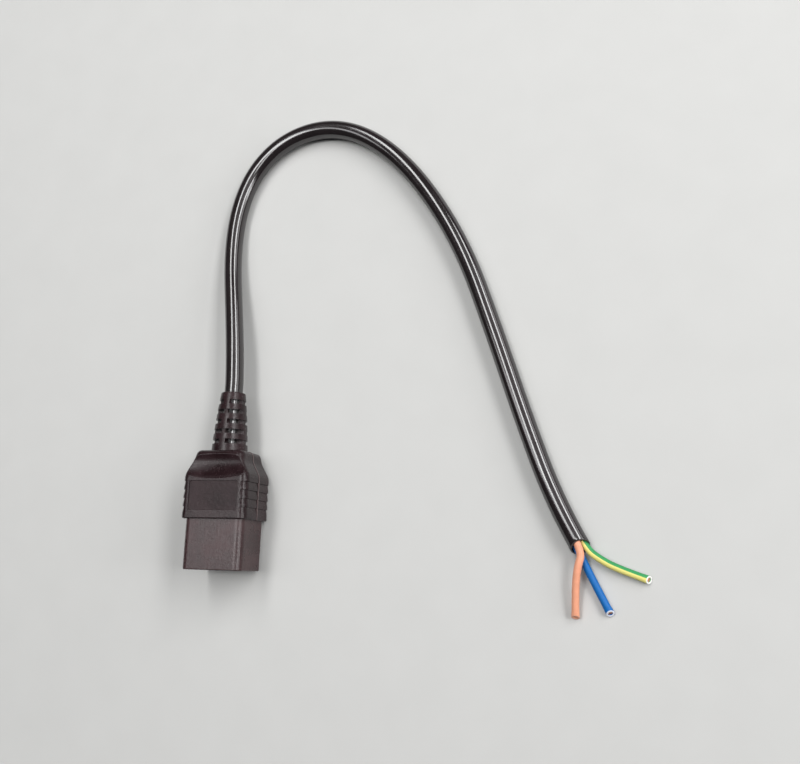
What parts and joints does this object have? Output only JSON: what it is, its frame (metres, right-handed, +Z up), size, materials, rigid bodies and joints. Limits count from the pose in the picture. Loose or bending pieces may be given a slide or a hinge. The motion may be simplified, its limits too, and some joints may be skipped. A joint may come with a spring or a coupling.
{
  "type": "power cord with coupler connector",
  "caption": "Moulded mains coupler connector on a short round lead, its far end cut with the cores bare.",
  "frame": {"origin": "middle of the connector's footprint, on the surface that it lies on", "axes": "+Y along the connector from its nose to its strain relief, +Z up, +X towards the side the lead arches over to"},
  "size_m": [0.1943, 0.2254, 0.024],
  "materials": {
    "moulded_black": "soft black moulding, semi-matt",
    "insert_black": "rigid black insert, fine-grained and semi-matt",
    "block_natural": "unpainted natural plastic, hidden",
    "contact_brass": "bright stamped brass",
    "sheath_black": "glossy black flexible sheath",
    "core_brown": "satin brown insulation",
    "core_blue": "satin blue insulation",
    "core_green_yellow": "satin green insulation with a yellow stripe",
    "copper": "bare stranded copper"
  },
  "bodies": {
    "root": {"overmould": "moulded_black", "nose_insert": "insert_black", "rear_block": "block_natural", "line_contact": "contact_brass", "neutral_contact": "contact_brass", "earth_contact": "contact_brass", "sheath": "sheath_black", "brown_core_inner": "core_brown", "brown_conductor_inner": "copper", "brown_core_tail": "core_brown", "brown_conductor_tail": "copper", "blue_core_inner": "core_blue", "blue_conductor_inner": "copper", "blue_core_tail": "core_blue", "blue_conductor_tail": "copper", "green_yellow_core_inner": "core_green_yellow", "green_yellow_conductor_inner": "copper", "green_yellow_core_tail": "core_green_yellow", "green_yellow_conductor_tail": "copper"}
  },
  "joints": []
}
